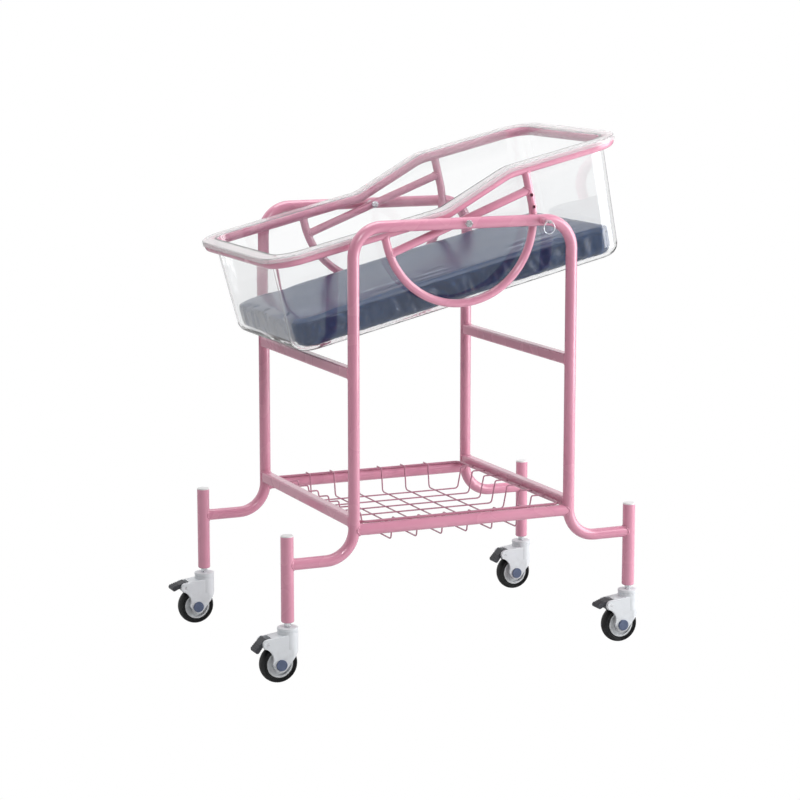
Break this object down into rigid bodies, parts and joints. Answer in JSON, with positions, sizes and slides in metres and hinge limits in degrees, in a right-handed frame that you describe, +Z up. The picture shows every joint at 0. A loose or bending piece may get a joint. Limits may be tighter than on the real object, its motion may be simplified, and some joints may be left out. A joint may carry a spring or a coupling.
{
  "type": "hospital bassinet",
  "caption": "Hospital bassinet: pink bent-tube trolley on braked swivel casters with a tilting cradle, clear tub, mattress and wire basket.",
  "frame": {"origin": "on the floor, midway between the four legs of the trolley", "axes": "+X points to the head end, +Y to the far side away from the tilt lock, +Z up"},
  "size_m": [0.8284, 0.5487, 1.021],
  "materials": {
    "enamel": "gloss powder coat",
    "cap": "satin white plastic",
    "steel": "zinc plated",
    "clear_tub": "clear moulded plastic",
    "vinyl": "navy vinyl cover",
    "wire": "coated wire",
    "caster_white": "satin",
    "axle_cap": "satin",
    "tyre": "moulded rubber",
    "hub": "satin",
    "pedal": "ribbed plastic"
  },
  "bodies": {
    "frame": {"side_frame_near": "enamel", "side_frame_far": "enamel", "upper_crossbar_foot": "enamel", "upper_crossbar_head": "enamel", "lower_crossbar_foot": "enamel", "lower_crossbar_head": "enamel", "basket_rail_near": "enamel", "basket_rail_far": "enamel", "caster_post_near_foot": "enamel", "caster_post_near_head": "enamel", "caster_post_far_foot": "enamel", "caster_post_far_head": "enamel", "post_caps": "cap", "caster_stems": "steel", "pivot_bolts": "steel", "pivot_spacers": "steel", "pivot_nuts": "steel", "plunger_body": "enamel"},
    "cradle": {"cradle_ring": "enamel", "sector_near": "enamel", "sector_far": "enamel", "brace_near": "enamel", "brace_far": "enamel"},
    "tub": {"tub": "clear_tub"},
    "mattress": {"mattress": "vinyl"},
    "basket": {"basket_rim": "wire", "basket_cross_wires": "wire", "basket_long_wires": "wire"},
    "index_pin": {"index_pin": "steel"},
    "pull_ring": {"pull_ring": "steel"},
    "caster_near_foot": {"housing_near_foot": "caster_white", "swivel_collar_near_foot": "caster_white", "caster_pins_near_foot": "steel", "axle_caps_near_foot": "axle_cap"},
    "wheel_near_foot": {"tyre_near_foot": "tyre", "wheel_hub_near_foot": "hub"},
    "pedal_near_foot": {"brake_pedal_near_foot": "pedal"},
    "caster_near_head": {"housing_near_head": "caster_white", "swivel_collar_near_head": "caster_white", "caster_pins_near_head": "steel", "axle_caps_near_head": "axle_cap"},
    "wheel_near_head": {"tyre_near_head": "tyre", "wheel_hub_near_head": "hub"},
    "pedal_near_head": {"brake_pedal_near_head": "pedal"},
    "caster_far_foot": {"housing_far_foot": "caster_white", "swivel_collar_far_foot": "caster_white", "caster_pins_far_foot": "steel", "axle_caps_far_foot": "axle_cap"},
    "wheel_far_foot": {"tyre_far_foot": "tyre", "wheel_hub_far_foot": "hub"},
    "pedal_far_foot": {"brake_pedal_far_foot": "pedal"},
    "caster_far_head": {"housing_far_head": "caster_white", "swivel_collar_far_head": "caster_white", "caster_pins_far_head": "steel", "axle_caps_far_head": "axle_cap"},
    "wheel_far_head": {"tyre_far_head": "tyre", "wheel_hub_far_head": "hub"},
    "pedal_far_head": {"brake_pedal_far_head": "pedal"}
  },
  "joints": [
    {"name": "cradle_tilt", "type": "hinge", "parent": "frame", "child": "cradle", "pos_m": [0.003, 0, 0.8585], "axis": [0, -1, 0], "range_deg": [-17.32, 0]},
    {"name": "tub_lift", "type": "slide", "parent": "cradle", "child": "tub", "axis": [-0.2329, 0, 0.9725], "range_m": [0, 0.25]},
    {"name": "mattress_lift", "type": "slide", "parent": "tub", "child": "mattress", "axis": [-0.2329, 0, 0.9725], "range_m": [0, 0.2]},
    {"name": "basket_lift", "type": "slide", "parent": "frame", "child": "basket", "axis": [0, 0, 1], "range_m": [0, 0.15]},
    {"name": "index_pin_slide", "type": "slide", "parent": "frame", "child": "index_pin", "axis": [0, -1, 0], "range_m": [-0.007, 0]},
    {"name": "pull_ring_swing", "type": "hinge", "parent": "index_pin", "child": "pull_ring", "pos_m": [0.16, -0.28125, 0.8585], "axis": [-1, 0, 0], "range_deg": [-15, 90]},
    {"name": "swivel_near_foot", "type": "hinge", "parent": "frame", "child": "caster_near_foot", "pos_m": [-0.367, -0.24, 0.098], "axis": [0, 0, 1], "continuous": true},
    {"name": "roll_near_foot", "type": "hinge", "parent": "caster_near_foot", "child": "wheel_near_foot", "pos_m": [-0.387, -0.24, 0.0375], "axis": [0, 1, 0], "continuous": true},
    {"name": "brake_near_foot", "type": "hinge", "parent": "caster_near_foot", "child": "pedal_near_foot", "pos_m": [-0.414, -0.24, 0.08], "axis": [0, -1, 0], "range_deg": [-29, 0]},
    {"name": "swivel_near_head", "type": "hinge", "parent": "frame", "child": "caster_near_head", "pos_m": [0.367, -0.24, 0.098], "axis": [0, 0, 1], "continuous": true},
    {"name": "roll_near_head", "type": "hinge", "parent": "caster_near_head", "child": "wheel_near_head", "pos_m": [0.347, -0.24, 0.0375], "axis": [0, 1, 0], "continuous": true},
    {"name": "brake_near_head", "type": "hinge", "parent": "caster_near_head", "child": "pedal_near_head", "pos_m": [0.32, -0.24, 0.08], "axis": [0, -1, 0], "range_deg": [0, 29]},
    {"name": "swivel_far_foot", "type": "hinge", "parent": "frame", "child": "caster_far_foot", "pos_m": [-0.367, 0.24, 0.098], "axis": [0, 0, 1], "continuous": true},
    {"name": "roll_far_foot", "type": "hinge", "parent": "caster_far_foot", "child": "wheel_far_foot", "pos_m": [-0.387, 0.24, 0.0375], "axis": [0, 1, 0], "continuous": true},
    {"name": "brake_far_foot", "type": "hinge", "parent": "caster_far_foot", "child": "pedal_far_foot", "pos_m": [-0.414, 0.24, 0.08], "axis": [0, -1, 0], "range_deg": [0, 29]},
    {"name": "swivel_far_head", "type": "hinge", "parent": "frame", "child": "caster_far_head", "pos_m": [0.367, 0.24, 0.098], "axis": [0, 0, 1], "continuous": true},
    {"name": "roll_far_head", "type": "hinge", "parent": "caster_far_head", "child": "wheel_far_head", "pos_m": [0.347, 0.24, 0.0375], "axis": [0, 1, 0], "continuous": true},
    {"name": "brake_far_head", "type": "hinge", "parent": "caster_far_head", "child": "pedal_far_head", "pos_m": [0.32, 0.24, 0.08], "axis": [0, -1, 0], "range_deg": [-29, 0]}
  ]
}
